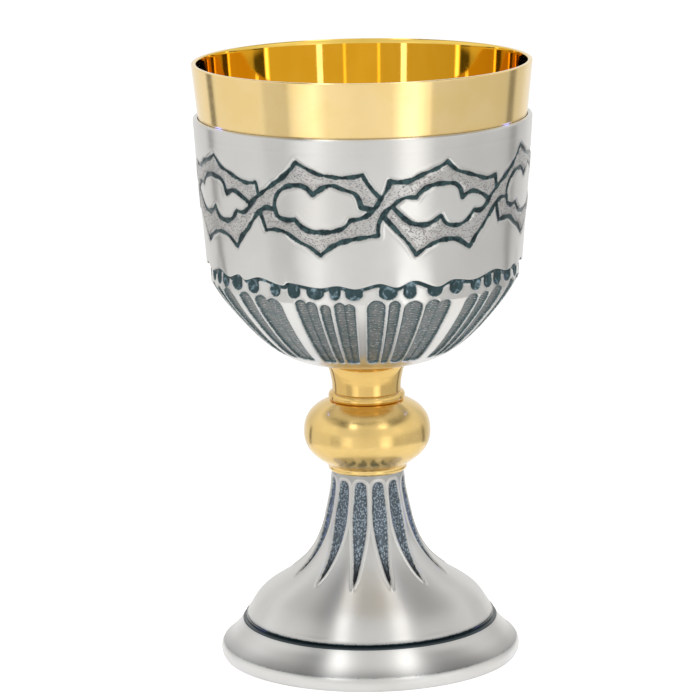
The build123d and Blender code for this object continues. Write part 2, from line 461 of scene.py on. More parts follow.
def fluted_bowl_silver():
    """Bright ridges between dark recesses that are hatched across their length, and pits with painted glints.
    """
    g = Graph("fluted_bowl_silver")
    edge = g.field("edge_mm")
    across = g.field("across_mm")
    along = g.field("along_mm")
    hatched = g.field("hatched")
    wander = g.times(g.noise(g.place(), 0.6, 2.0), 1.2)
    hatch = g.math("SINE", g.times(g.math("ADD", along, wander), FULL_TURN / HATCH_PITCH))
    where = g.vector(across, g.times(along, 0.8))
    gaps = g.ramp(g.cells(where, HATCH_GRAIN), 0.2, 0.5, 1.0, 0.25)
    bars = g.times(g.times(g.ramp(hatch, -0.1, 0.7), gaps), hatched)
    patch = g.ramp(g.noise(g.place(), 0.35, 2.0), 0.35, 0.65)
    floor_colour = g.mix(patch, colour(92, 104, 104), colour(116, 118, 118))
    darkened_near_edge = g.mix(g.ramp(edge, 0.25, 1.1), RECESS_DARK, floor_colour)
    # Painted highlights: pale patches in the dark patina of the pits stand in for glints.
    painted_glint = g.ramp(g.noise(g.place(), 0.5, 2.0), 0.52, 0.7)
    pit_patina_and_glint = g.mix(painted_glint, RECESS_DARK, colour(128, 150, 160))
    dark_colour = g.mix(hatched, pit_patina_and_glint, darkened_near_edge)
    bright = g.times(bars, g.ramp(edge, 0.1, 0.9, 0.3, 0.95))
    dark_colour = g.mix(bright, dark_colour, colour(198, 204, 202))
    base, dark = satin_silver(g, edge, dark_colour)
    cut = g.bump(bars, 0.8, 0.25, spun_lines(g, 0.1))
    return silver_finish(g, base, dark, 0.8, g.ramp(dark, 0.0, 1.0, 0.28, 0.36), 0.0, cut)


def foot_silver():
    """Satin bell with dark, punched rays down the stem."""
    g = Graph("foot_silver")
    edge = g.field("edge_mm")
    across = g.field("across_mm")
    along = g.field("along_mm")
    where = g.vector(across, g.times(along, 0.8))
    # Each punch is paler at its middle: partly the punched ground's own tone, partly painted sparkle.
    scales = g.ramp(g.cells(where, RAY_GRAIN), 0.65, 0.2)
    punch_tone_and_sparkle = g.mix(scales, colour(86, 95, 102), colour(158, 172, 184))
    dark_colour = g.mix(g.ramp(along, 28.0, 37.0), colour(48, 52, 56), punch_tone_and_sparkle)
    dark_colour = g.mix(g.ramp(along, 14.0, 18.0), GROOVE_DARK, dark_colour)
    base, dark = satin_silver(g, edge, dark_colour)
    between = g.times(g.ramp(edge, -0.95, -1.4), g.ramp(along, 34.0, 46.0))
    base = g.mix(g.times(between, 0.5), base, colour(140, 144, 144))
    punched = g.bump(g.times(scales, dark), 0.5, 0.3, spun_lines(g, 0.1))
    return silver_finish(g, base, dark, 0.9, g.ramp(dark, 0.0, 1.0, 0.36, 0.28), 1.0, punched)


def base_silver():
    """Polished silver ring with a dark line in its groove, and painted shade on the flare above its lip."""
    g = Graph("base_silver")
    base, dark = satin_silver(g, g.field("edge_mm"), GROOVE_DARK)
    height = g.field("height_mm")
    # Painted shade: the flare is greyed above the lip, most just over the corner and less higher up, standing
    # in for the dark band that this corner mirrors.
    painted_shade_fade = g.ramp(height, 4.4, 8.0, 0.55, 0.16)
    darkened_near_edge = g.times(g.ramp(height, 3.9, 4.6), painted_shade_fade)
    base = g.mix(darkened_near_edge, base, colour(140, 140, 140))
    return silver_finish(g, base, dark, 0.7, 0.3, 0.6, spun_lines(g, 0.08, 0.04))


def plain_metal(name, light, deep, roughness, line_strength):
    """Turned or plated metal with tool lines and a slightly uneven colour."""
    g = Graph(name)
    patch = g.noise(g.place((250.0, 250.0, 250.0)), 1.0, 4.0)
    lines = g.noise(g.place((300.0, 300.0, 6000.0)), 1.0, 3.0)
    return g.finish(
        Base_Color=g.mix(g.ramp(patch, 0.3, 0.7), light, deep), Metallic=1.0,
        Roughness=g.ramp(patch, 0.2, 0.8, roughness * 0.8, roughness * 1.3),
        Normal=g.bump(lines, line_strength, 0.05),
    )


# ---- the chased wall

WALL_COLUMNS = 900
WALL_STEP = 0.5
GROOVE_HALF_WIDTH = 0.8
GROOVE_WIDTH_SWING = 0.26
GROOVE_DEPTH = 0.5
LIP_RISE = 0.12
STRAND_RISE = 0.25
WALL_MEAN_RADIUS = 50.4
TOP_LINE_Z = 167.0
TOP_LINE_DEPTH = 0.1
LOOP_PERIOD = 90.0
# No thorn reaches below the first of these heights or above the second.
BAND_LIMITS = (132, 168)

# Two thorn loops, as (angle, height) runs that meet at sharp tips.
LOOPS = (
    {
        "outer_top": (
            ((-39, 152.7), (-32.5, 156.6), (-26.3, 160.7), (-22.8, 164.2)),
            ((-22.8, 164.2), (-17.2, 161.5), (-9.8, 160), (-4, 160), (-0.5, 160.6)),
            ((-0.5, 160.6), (1.8, 157.2), (5.6, 153.6)),
        ),
        "inner_top": (
            ((-31.4, 149.2), (-31.8, 150.8), (-30.2, 154.3), (-26.5, 156.7), (-23.2, 157.2), (-19.2, 156.4),
             (-17.2, 154.5)),
            ((-17.2, 154.5), (-14.8, 156.2), (-11, 157.5), (-6.8, 156.4), (-2.8, 154.8), (-1, 150.8)),
            ((-1, 150.8), (2.6, 150.4)),
        ),
        "inner_bottom": (
            ((-31.4, 149.2), (-31, 147.8), (-28, 146.5), (-24.2, 146.8)),
            ((-24.2, 146.8), (-22.5, 145), (-18.2, 143.3), (-14, 143.2), (-10.2, 143.6), (-6, 145.4),
             (-4.8, 146.9)),
            ((-4.8, 146.9), (0.2, 147.9), (2.6, 149.5), (5.2, 152.6)),
        ),
        "outer_bottom": (
            ((-37.8, 147.9), (-35.8, 142.8)),
            ((-35.8, 142.8), (-28.8, 142.8), (-24.2, 140.6), (-19.2, 138.4), (-15.2, 136.1)),
            ((-15.2, 136.1), (-10.5, 139.2), (-4.2, 141.1), (4.8, 142.2)),
            ((4.8, 142.2), (4.8, 144.7), (6.0, 147.9), (9.4, 150.9)),
        ),
    },
    {
        "outer_top": (
            ((5.2, 152.6), (7.3, 155.3), (8.8, 158.5)),
            ((8.8, 158.5), (14.3, 158.2), (20, 160.1), (26.3, 162), (29, 163.3)),
            ((29, 163.3), (33, 160.5), (40.5, 158.2), (45.8, 156.7), (50.8, 157)),
            ((50.8, 157), (51.8, 153.2)),
        ),
        "inner_top": (
            ((9.4, 150.9), (13.5, 153.2), (17.8, 153.2)),
            ((17.8, 153.2), (19.5, 154.9), (23, 156.5), (29, 156.9), (33.8, 155.6), (35.5, 152.1)),
            ((35.5, 152.1), (39.5, 153.5), (44, 152.3), (47.8, 150.1)),
        ),
        "inner_bottom": (
            ((9.4, 150.9), (14.3, 146.7), (18.2, 145), (22.5, 145), (27.2, 147.2)),
            ((27.2, 147.2), (29.2, 144.7), (34, 143.7), (37.8, 144.8), (40.8, 147.5)),
            ((40.8, 147.5), (44, 147.2), (46.5, 148.6), (48.5, 150.6), (51, 152.7)),
        ),
        "outer_bottom": (
            ((6.2, 148.2), (11.8, 142.8), (15.5, 139), (18, 135.8)),
            ((18, 135.8), (22.8, 138.2), (28, 139.6), (32.8, 139.5), (39.5, 136.3)),
            ((39.5, 136.3), (41.8, 139.1), (45.8, 142.6), (49, 145.9), (52.2, 148.6), (55.5, 149.8),
             (58.6, 149.2)),
        ),
    },
)

# Crests and hollows of the wall's scalloped lower edge on the front, as (angle, height).
EDGE_FRONT = (
    (-72, 125.9), (-64.5, 127.3), (-57.7, 125.8), (-51.5, 127.2), (-48.2, 126.0), (-40.8, 127.5),
    (-30.2, 125.9), (-28.2, 126.9), (-16, 125.8), (-9.8, 126.6), (-3.5, 125.7), (5.2, 127.2),
    (11.2, 125.9), (17.5, 127.6), (26.8, 125.2), (33, 126.8), (42, 125.8), (54, 127.4), (63, 125.9),
    (72.5, 127.3),
)
EDGE_MIDDLE = 126.5
EDGE_SWING = 0.75
EDGE_WAVES_BEHIND = 27.2
EDGE_WOBBLE = 0.6
EDGE_WOBBLES_BEHIND = 5
# Between these angles to either side, the measured edge gives way to the waves behind.
EDGE_BLEND = (66, 72)
# The edge lifts the wall above it, less and less up to the first of these heights.
EDGE_REACH = (134, 127.5)


def run_points(runs, shift, step=0.3):
    """Unrolled (arc length, height) points along a loop's line, shift degrees further round."""
    scale = np.array([math.radians(1) * WALL_MEAN_RADIUS, 1.0])
    moved = [np.array(run, float) + (shift, 0) for run in runs]
    return np.vstack([spline(run * scale, step=step) for run in moved])


def within(polygon, x, y):
    """Whether each point lies in a polygon."""
    found = np.zeros(np.broadcast(x, y).shape, bool)
    for (x0, y0), (x1, y1) in zip(polygon, np.roll(polygon, -1, 0)):
        if y0 == y1:
            continue
        crossing = x0 + (y - y0) * (x1 - x0) / (y1 - y0)
        found ^= ((y0 > y) != (y1 > y)) & (x < crossing)
    return found


def thorn_fields(angles, height):
    """Distance to the nearest groove, and whether a point is on a strand, for each row and column."""
    x = np.radians(angles) * WALL_MEAN_RADIUS + 0 * height
    y = height + 0 * angles
    strand = np.zeros(x.shape, bool)
    lines = []
    for turn in range(-3, 4):
        for loop in LOOPS:
            runs = {name: run_points(parts, turn * LOOP_PERIOD) for name, parts in loop.items()}
            outer = np.vstack([runs["outer_top"], runs["outer_bottom"][::-1]])
            inner = np.vstack([runs["inner_top"], runs["inner_bottom"][::-1]])
            strand |= within(outer[::3], x, y) & ~within(inner[::3], x, y)
            lines.extend(runs.values())
    points = np.vstack(lines)
    tree = KDTree(len(points))
    for i, (px, py) in enumerate(points):
        tree.insert((px, py, 0), i)
    tree.balance()
    near = (y > BAND_LIMITS[0]) & (y < BAND_LIMITS[1])
    distance = np.full(x.shape, FAR)
    distance[near] = [tree.find((px, py, 0))[2] for px, py in zip(x[near], y[near])]
    return distance, strand


def edge_height(angles):
    """Height of the wall's scalloped lower edge at each angle, in degrees."""
    known = np.array(EDGE_FRONT)
    after = np.searchsorted(known[:, 0], angles).clip(1, len(known) - 1)
    left, right = known[after - 1], known[after]
    share = smoothstep(0, 1, (angles - left[..., 0]) / (right[..., 0] - left[..., 0]))
    front = left[..., 1] + (right[..., 1] - left[..., 1]) * share
    wobble = EDGE_WOBBLE * np.sin(np.radians(angles) * EDGE_WOBBLES_BEHIND)
    behind = EDGE_MIDDLE + EDGE_SWING * np.cos(np.radians(np.abs(angles)) * EDGE_WAVES_BEHIND + wobble)
    return front + (behind - front) * smoothstep(*EDGE_BLEND, np.abs(angles))


def chased_wall():
    """The upright wall, with the thorn band cut into it and a scalloped lower edge."""
    base_z, top_z, top_radius = limits("shell_wall")
    round_size = 0.6
    lap_radius = 47.8
    foot_radius = 48.95
    mouth_radius = 50.95
    lap_top_z = limits("fluted_bowl")[1] + round_size
    corner_start = (foot_radius - round_size, base_z)
    corner_end = (foot_radius, base_z + round_size)
    foot = line((lap_radius, base_z), corner_start, step=0.3)
    lower = corner(corner_start, (foot_radius, base_z), corner_end)
    outer = spline(
        (corner_end, (49.85, 138), (50.8, 150), (51.65, 161.5), (top_radius, top_z - round_size)),
        (0.08, 1), (0.04, 1), WALL_STEP,
    )
    upper = corner((top_radius, top_z - round_size), (top_radius, top_z), (top_radius - round_size, top_z))
    hollow = spline(
        ((mouth_radius, top_z), (50.2, 160), (49.1, 145), (48.2, 134), (lap_radius, lap_top_z)),
        (-0.07, -1), (0, -1), 6.0,
    )
    outline = section(foot, lower, outer, upper, hollow)
    angles = np.degrees(column_angles(WALL_COLUMNS))[None, :]
    radius, height = outline[:, :1], outline[:, 1:]
    on_face = between_rows(outline, len(foot) + 1, len(foot) + len(lower) + len(outer) - 5)
    distance, strand = thorn_fields(angles, height)
    distance = np.where(on_face, distance, FAR)
    turn = np.radians(angles)
    # A graver held by hand: the width of the cut swings along each line.
    hand_cut = np.sin(26 * turn + 1.3) * np.cos(0.5 * height + 35 * turn)
    half_width = GROOVE_HALF_WIDTH + GROOVE_WIDTH_SWING * hand_cut
    groove = np.exp(-((distance / half_width) ** 2) * 1.1)
    raised = STRAND_RISE * strand * smoothstep(0.3, 2.2, distance) * on_face
    raised = raised + LIP_RISE * ridge(distance, 1.25, 0.4)
    line_cut = TOP_LINE_DEPTH * ridge(height, TOP_LINE_Z, 0.3) * on_face
    lift = (edge_height(angles) - base_z) * smoothstep(*EDGE_REACH, height) * (height < EDGE_REACH[0])
    lift = np.where((height < lap_top_z - 1) | on_face, lift, 0.0)
    under_edge = (height + 0 * angles) < base_z + 0.25
    turned_piece(
        "chased_wall", outline, WALL_COLUMNS, chased_wall_silver(), "chased_silver", "shell_wall",
        relief=raised - GROOVE_DEPTH * groove - line_cut, lift=lift, sharp=60,
        fields={
            "edge_mm": np.where(under_edge, 0.4, half_width * 0.95 - distance),
            "strand": strand * smoothstep(0.6, 1.1, distance),
            "along_mm": np.radians(angles) * WALL_MEAN_RADIUS,
            "height_mm": height,
        },
    )


# ---- the fluted bowl

BOWL_COLUMNS = 840
BOWL_STEP = 0.52
TONGUE_DEPTH = 0.75
TONGUE_FOOT_Z = 98.6
PIT_DEPTH = 0.8
PIT_MIDDLE_Z = 124.2
PIT_HALF_HEIGHT = 2.1
PIT_RIM_RISE = 0.28
TONGUE_RIM_RISE = 0.16
SHADOW_LINE = 1.2
SHADOW_DEPTH = 0.4
PIT_FOOT_Z = 120
FLUTE_PERIOD = 120.0

# One third of the tongues round the bowl: first angle, last angle, number of rounded lobes, top height.
TONGUES = (
    (-66.5, -57.5, 1, 121.9), (-53.8, -46.2, 1, 122.2), (-45.0, -32.4, 2, 122.1),
    (-26.5, -17.8, 2, 122.0), (-17.0, -12.8, 1, 120.6), (-11.6, -3.6, 2, 121.6),
    (0.5, 7.5, 1, 122.2), (8.5, 13.0, 1, 121.9), (14.2, 21.8, 1, 121.5),
    (22.6, 33.5, 2, 121.4), (40.2, 46.6, 1, 121.4), (47.5, 52.9, 1, 121.2),
)
# One third of the pits above them: angle and half width, in degrees.
PITS = (
    (-62.6, 2.9), (-54.4, 3.5), (-44.9, 3.0), (-34.4, 2.4), (-26.6, 2.7), (-18.2, 3.4), (-10.9, 2.2),
    (-4.0, 3.4), (8.3, 3.6), (16.3, 2.6), (26.1, 3.2), (35.1, 3.1), (44.5, 2.8), (51.2, 2.5),
)


def from_angle(angles, centre):
    """Angle from centre, the short way round, in degrees."""
    return (angles - centre + 180) % 360 - 180


def lobe(angles, radius, along, centre, half_angle, top, foot):
    """Distance inside one round-topped tongue, in millimetres, and across it from its middle."""
    offset = from_angle(angles, centre)
    across = np.radians(offset) * radius
    half = math.radians(half_angle) * radius
    cap = np.radians(half_angle) * radius[np.argmin(np.abs(along - top))]
    beyond_top = np.maximum(along - (top - cap), 0) * half / np.maximum(half, cap)
    beyond_foot = np.maximum(foot + half - along, 0)
    inside_by = half - np.hypot(across, np.maximum(beyond_top, beyond_foot))
    return np.where(np.abs(offset) < 3 * half_angle, inside_by, -FAR), across


def tongue_fields(angles, radius, along, length_at):
    """Distance inside the nearest tongue and the distance across it, for each row and column."""
    inside_by = np.full(np.broadcast(angles, radius).shape, -FAR)
    middle = np.zeros(inside_by.shape)
    foot = length_at(TONGUE_FOOT_Z)
    for third in range(3):
        for first, last, lobes, top_z in TONGUES:
            half_angle = (last - first) / 2 / (1 + 0.8 * (lobes - 1))
            for i in range(lobes):
                centre = first + half_angle + i * (last - first - 2 * half_angle) + third * FLUTE_PERIOD
                top = length_at(top_z - 0.5 * i)
                found, across = lobe(angles, radius, along, centre, half_angle, top, foot)
                middle = np.where(found > inside_by, across, middle)
                inside_by = np.maximum(inside_by, found)
    return inside_by, middle


def pit_field(angles, radius, height):
    """Distance inside the nearest pit, for each row and column."""
    inside_by = np.full(np.broadcast(angles, radius).shape, -FAR)
    for third in range(3):
        for centre, half_angle in PITS:
            across = np.radians(from_angle(angles, centre + third * FLUTE_PERIOD)) * radius
            half = math.radians(half_angle) * radius
            up = height - PIT_MIDDLE_Z
            up = np.where(up > 0, up * 0.55, up)
            reach = np.hypot(across / half, up / PIT_HALF_HEIGHT)
            inside_by = np.maximum(inside_by, (1 - reach) * PIT_HALF_HEIGHT)
    return inside_by


def fluted_bowl():
    """The bowl under the wall: a row of pits, and dark hatched tongues below them."""
    base_z, rim_z, band_radius = limits("fluted_bowl")
    floor_radius = 14.0
    floor_top_z = base_z + 1.3
    hole_radius = 6.2
    rim_radius = 46.85
    floor = line((hole_radius, base_z), (floor_radius, base_z), step=2.6)
    outer = spline(
        ((floor_radius, base_z), (23.6, 96.2), (32.1, 101.6), (40.4, 110.3), (47, 119.4)),
        (1, 0), (0.57, 1), BOWL_STEP,
    )
    band = line((47, 119.4), (band_radius, 120.8), (band_radius, rim_z), step=BOWL_STEP)
    rim = line((band_radius, rim_z), (rim_radius, rim_z))
    hollow = spline(
        ((rim_radius, rim_z), (46.5, 124), (44.4, 118), (39.5, 111.2), (31.3, 102.8), (23.05, 97.6),
         (floor_radius, floor_top_z)),
        (0, -1), (-1, 0), 5.0,
    )
    hole = line((floor_radius, floor_top_z), (hole_radius, floor_top_z), step=4.0)
    outline = section(floor, outer, band, rim, hollow, hole)
    on_face = between_rows(outline, len(floor) - 1, len(floor) + len(outer) + len(band) - 4)
    face = outline[on_face[:, 0]]
    lengths = run_length(face)

    def length_at(z):
        return np.interp(z, face[:, 1], lengths)

    along = np.zeros((len(outline), 1))
    along[on_face[:, 0], 0] = lengths
    angles = np.degrees(column_angles(BOWL_COLUMNS))[None, :]
    radius, height = outline[:, :1], outline[:, 1:]
    tongues, across = tongue_fields(angles, radius, along, length_at)
    pits = pit_field(angles, radius, height)
    shadow_line = height - (edge_height(angles) - SHADOW_LINE)
    tongues = np.where(on_face, tongues, -FAR)
    pits = np.where(on_face & (height > PIT_FOOT_Z), pits, -FAR)
    relief = TONGUE_RIM_RISE * ridge(tongues, -0.35, 0.35)
    relief = relief + PIT_RIM_RISE * ridge(pits, -0.45, 0.4) * (height < 125)
    relief = relief - TONGUE_DEPTH * smoothstep(-0.25, 0.7, tongues)
    relief = relief - PIT_DEPTH * smoothstep(-0.2, 1.3, pits)
    relief = np.minimum(relief, -SHADOW_DEPTH * smoothstep(-0.2, 0.5, shadow_line) * on_face)
    relief = np.where(on_face, relief, 0.0)
    edge = np.maximum(np.maximum(tongues, pits), np.where(on_face, shadow_line, -FAR))
    turned_piece(
        "fluted_bowl_shell", outline, BOWL_COLUMNS, fluted_bowl_silver(), "chased_silver", "fluted_bowl",
        relief=relief, sharp=60,
        fields={
            "edge_mm": edge.clip(-3, 3),
            "across_mm": across.clip(-9, 9),
            "along_mm": along,
            "hatched": smoothstep(-0.1, 0.4, tongues),
        },
    )


# ---- the foot

FOOT_COLUMNS = 680
FOOT_STEP = 0.55
RAY_ANGLES = (-71, -41.5, -12, 16, 44, 76, 106, 136, 166, 197, 227, 257)
RAY_DEPTH = 0.55
BORDER_RISE = 0.28
UNDERCUT_HEIGHT = 0.85
UNDERCUT_DEPTH = 0.6
FOOT_BEAD_RISE = 0.12
# Half the width of a ray by height, in millimetres.
RAY_WIDTHS = (
    (26.8, 0.0), (28.5, 0.6), (33, 1.15), (38, 1.85), (43.5, 2.35), (48, 2.35), (53, 2.0), (55.3, 1.8),
)
RAY_CAP_HEIGHT = 1.8


def ray_field(angles, radius, height):
    """Distance inside the nearest ray and across it, for each row and column."""
    known = np.array(RAY_WIDTHS)
    half = np.interp(height, known[:, 0], known[:, 1])
    above = np.maximum(height - known[-1, 0], 0)
    below = np.maximum(known[0, 0] - height, 0)
    inside_by = np.full(np.broadcast(angles, radius).shape, -FAR)
    middle = np.zeros(inside_by.shape)
    for centre in RAY_ANGLES:
        across = np.radians(from_angle(angles, centre)) * radius
        capped = (1 - np.hypot(across / known[-1, 1], above / RAY_CAP_HEIGHT)) * RAY_CAP_HEIGHT
        found = np.where(above > 0, capped, half - np.abs(across))
        found = np.where(below > 0, -np.hypot(across, below), found)
        middle = np.where(found > inside_by, across, middle)
        inside_by = np.maximum(inside_by, found)
    return inside_by, middle


def foot_bell():
    """The bell-shaped foot: dark rays with raised borders down the stem, and a plain satin flare."""
    seat_z, top_z = limits("foot_bell")[:2]
    wall = 1.2
    neck_radius = 11.3
    neck_foot_z = 56.2
    bell = spline(
        ((39.9, 10.8), (37.4, 15.4), (34.6, 19.3), (30.3, 22.6), (24.7, 26.3), (18.1, 32.9),
         (14.1, 41.7), (12.2, 49.8), (neck_radius, neck_foot_z)),
        None, (0, 1), FOOT_STEP,
    )
    inner = inside(bell, wall)
    bell = bell[bell[:, 1] > seat_z]
    inner = inner[inner[:, 1] > seat_z]
    edge_start = (bell[0, 0] + 0.25, seat_z)
    edge_end = (inner[-1, 0] + 0.3, seat_z)
    neck = line((neck_radius, neck_foot_z), (neck_radius, top_z), step=FOOT_STEP)
    bore_radius = neck_radius - wall
    bore = line((neck_radius, top_z), (bore_radius, top_z), (bore_radius, neck_foot_z), step=1.5)
    outline = section(line(edge_end, edge_start), bell, neck, bore, inner[::3])
    last_row = len(bell) + len(neck) - 2
    on_face = between_rows(outline, 2, last_row)
    angles = np.degrees(column_angles(FOOT_COLUMNS))[None, :]
    radius, height = outline[:, :1], outline[:, 1:]
    rays, across = ray_field(angles, radius, height)
    rays = np.where(on_face, rays, -FAR)
    border = ridge(rays, -0.45, 0.4) * on_face
    relief = BORDER_RISE * border - RAY_DEPTH * smoothstep(-0.2, 0.7, rays)
    outside = between_rows(outline, 1, last_row)
    undercut = np.where(outside, seat_z + UNDERCUT_HEIGHT - height, -FAR)
    relief = relief - UNDERCUT_DEPTH * smoothstep(-0.2, 0.3, undercut)
    relief = relief + FOOT_BEAD_RISE * ridge(undercut, -0.7, 0.35) * on_face
    turned_piece(
        "foot_bell_shell", outline, FOOT_COLUMNS, foot_silver(), "chased_silver", "foot_bell",
        relief=relief, sharp=60,
        fields={
            "edge_mm": np.maximum(rays, undercut).clip(-3, 3),
            "across_mm": across.clip(-9, 9),
            "along_mm": height,
        },
    )


def base_ring():
    """The base ring: a dark groove under the bell, a flare and a rounded lip."""
    seat_z, lip_radius = limits("base_ring")[1:]
    bore_radius = 37.2
    seat_end = (38.9, seat_z)
    groove_start = (40.1, 11.3)
    lip_foot = (46.3, 0)
    lip_top = (46.3, 4.4)
    slope_start = (41.4, 6.4)
    groove_edge = 39.75
    groove_low_z = 10.5
    lip_line_z = 4.35
    lip_line_half = 0.06
    seat = line((bore_radius, seat_z), seat_end, step=0.4)[::-1]
    groove = arc(groove_start, (39.0, 10.9), seat_end, 10)
    flare = spline((lip_top, (44.8, 5.6), (42.8, 7.6), (41.3, 9.4), groove_start), None, None, 0.4)
    lip = arc(lip_foot, (lip_radius, 2.2), lip_top, 16)
    under = line(slope_start, (44.2, 3.2), (44.2, 0), lip_foot, step=0.6)
    inner = line((bore_radius, seat_z), (bore_radius, 10.4), (38.6, 9.2), slope_start, step=0.6)
    outline = section(under, lip, flare, groove, seat, inner)
    radius, height = outline[:, :1], outline[:, 1:]
    in_groove = (height > groove_low_z) & (radius > bore_radius + 0.8)
    on_lip = np.where(radius > 45.5, lip_line_half - np.abs(height - lip_line_z), -1.0)
    edge = np.where(in_groove, groove_edge - radius, on_lip)
    turned_piece(
        "base_ring_silver", outline, LARGE_COLUMNS, base_silver(), "polished_silver", "base_ring",
        fields={"edge_mm": edge, "height_mm": height}, sharp=50,
    )


# ---- the gilt pieces

# Radius of the holes that the rod passes through.
ROD_HOLE = 4.2


def face_values(mesh, name):
    """The normal or the centre of each face of a mesh, one row each."""
    values = np.zeros(len(mesh.polygons) * 3)
    mesh.polygons.foreach_get(name, values)
    return values.reshape(-1, 3)


def cup(material, inside_material):
    """The gilt cup: a round floor, a swelling wall and a straight rolled lip."""
    base_z, top_z, rim_radius = limits("inner_cup")
    wall = 1.2
    rim_round = 0.3
    shoulder_z = top_z - rim_round
    bowl = spline(
        ((12, base_z), (22, 99.4), (31, 103.5), (39, 111.6), (44, 118.8), (46.2, 124.5), (47.3, 131),
         (48.5, 145), (49.9, 160), (51, 174)),
        (1, 0), (0.1, 1), 1.0,
    )
    lip = line((51, 174), (rim_radius, shoulder_z), step=1.0)
    outer = np.vstack([line((0, base_z), (12, base_z), step=2.0)[:-1], bowl, lip[1:]])
    rolled = corner((rim_radius, shoulder_z), (rim_radius, top_z), (rim_radius - rim_round, top_z))
    mouth_radius = rim_radius - 1.45
    inner_edge = corner((mouth_radius + rim_round, top_z), (mouth_radius, top_z), (mouth_radius, shoulder_z))
    lower_inner = inside(outer[outer[:, 1] < 150], wall)
    lower_inner[-1] = (0, base_z + wall)
    upper_inner = spline(
        ((mouth_radius, shoulder_z), (50.7, 184), (49.97, 175), (48.9, 162), tuple(lower_inner[0])),
        None, None, 1.2,
    )[1:-1]
    inner = np.vstack([upper_inner, lower_inner])
    outline = np.vstack([outer[:-1], rolled, inner_edge, inner])
    mesh = turned_piece(
        "gilt_cup", outline, LARGE_COLUMNS, material, "polished_gold", "inner_cup", closed=False,
    )
    mesh.materials.append(inside_material)
    normals = face_values(mesh, "normal")
    centres = face_values(mesh, "center")
    faces_axis = (normals[:, :2] * centres[:, :2]).sum(1) < 0
    faces_up = (normals[:, 2] > 0) & (centres[:, 2] < shoulder_z * MM)
    mesh.polygons.foreach_set("material_index", (faces_axis | faces_up).astype(np.int32))


def neck(material):
    """The waisted collar under the bowl."""
    bottom_z, top_z = limits("neck_collar")[:2]
    foot_radius = 10.75
    top_radius = 13.5
    flare_z = 93.8
    socket_radius = 6.0
    waist = spline(
        ((foot_radius, bottom_z), (10.8, 86.8), (11.25, 89.5), (11.8, 91.6), (top_radius, flare_z)),
        None, (1, 0.4), 0.3,
    )
    outline = section(
        line((ROD_HOLE, bottom_z), (foot_radius, bottom_z)), waist,
        stepped(
            (top_radius, flare_z), (top_radius, top_z, 0.3), (socket_radius, top_z, 2.0),
            (socket_radius, 87.5, 2.0), (ROD_HOLE, 87.5, 2.0), (ROD_HOLE, bottom_z, 2.0),
        ),
    )
    turned_piece("gilt_neck", outline, SMALL_COLUMNS, material, "polished_gold", "neck_collar")


def bead(material):
    """The round bead between the collar and the knob."""
    bottom_z, top_z, outer_radius = limits("neck_ring")
    foot_radius = outer_radius - 0.8
    outline = section(
        line((ROD_HOLE, bottom_z), (foot_radius, bottom_z)),
        arc((foot_radius, bottom_z), (outer_radius, (bottom_z + top_z) / 2), (foot_radius, top_z), 14),
        line((foot_radius, top_z), (ROD_HOLE, top_z)),
    )
    turned_piece("gilt_bead", outline, SMALL_COLUMNS, material, "polished_gold", "neck_ring")


def knob(material):
    """The two halves of the hollow knob, which meet at its widest line."""
    equator_z, top_z, knob_radius = limits("knob_upper_half")
    bottom_z = limits("knob_lower_half")[0]
    wall = 1.0
    top_radius = 12.2
    bottom_radius = 13.3
    inner_top_z = top_z - wall
    inner_bottom_z = bottom_z + wall
    upper = spline(
        ((knob_radius, equator_z), (19.15, 75.4), (16.6, 78.9), (top_radius, top_z)),
        (0, 1), (-1, 0.45), 0.4,
    )
    lower = spline(
        ((bottom_radius, bottom_z), (15.7, 63.4), (18.5, 66.4), (knob_radius, equator_z)),
        (1, 0.9), (0, 1), 0.4,
    )
    upper_outline = section(
        upper,
        line((top_radius, top_z), (ROD_HOLE, top_z), (ROD_HOLE, inner_top_z), (10.5, inner_top_z), step=1.0),
        inside(upper, wall)[4:],
    )
    lower_outline = section(
        lower,
        inside(lower, wall)[:-4],
        line((11.5, inner_bottom_z), (ROD_HOLE, inner_bottom_z), step=1.0),
        line((ROD_HOLE, inner_bottom_z), (ROD_HOLE, bottom_z), (bottom_radius, bottom_z), step=1.0),
    )
    for name, outline, node in (
        ("gilt_knob_top", upper_outline, "knob_upper_half"),
        ("gilt_knob_bottom", lower_outline, "knob_lower_half"),
    ):
        turned_piece(name, outline, SMALL_COLUMNS, material, "polished_gold", node, sharp=50)


def collar(material):
    """The thin bevelled collar that sits on the foot."""
    bottom_z, top_z = limits("lower_collar")[:2]
    bottom_radius = 11.9
    top_radius = 13.3
    outline = section(
        line((ROD_HOLE, bottom_z), (bottom_radius, bottom_z)),
        spline(
            ((bottom_radius, bottom_z), (12.25, bottom_z + 0.5), (12.3, 60.6), (top_radius, top_z)),
            None, None, 0.25,
        ),
        line((top_radius, top_z), (ROD_HOLE, top_z)),
    )
    turned_piece("gilt_collar", outline, SMALL_COLUMNS, material, "polished_gold", "lower_collar")


# ---- the rod and nut inside the foot

THREAD_PITCH = 1.25
THREAD_DEPTH = 0.65


def tie_rod(material):
    """The threaded rod, with a real helical thread and bevelled ends."""
    bottom_z, top_z, radius = limits("tie_rod")
    bevel = 0.7
    end_radius = radius - bevel
    outline = stepped(
        (0, bottom_z), (end_radius, bottom_z, 1.0), (radius, bottom_z + bevel, 0.3),
        (radius, top_z - bevel, 0.16), (end_radius, top_z, 0.3), (0, top_z, 1.0),
    )
    columns = 64
    turn = (outline[:, 1:] / THREAD_PITCH - column_angles(columns)[None, :] / FULL_TURN) % 1.0
    wave = np.abs(2 * turn - 1)
    cut = np.clip(wave * 1.25 - 0.12, 0, 1) * (outline[:, :1] > radius - 0.05)
    turned_piece(
        "threaded_rod", outline, columns, material, "steel", "tie_rod",
        relief=-THREAD_DEPTH * cut, closed=False, sharp=30,
    )


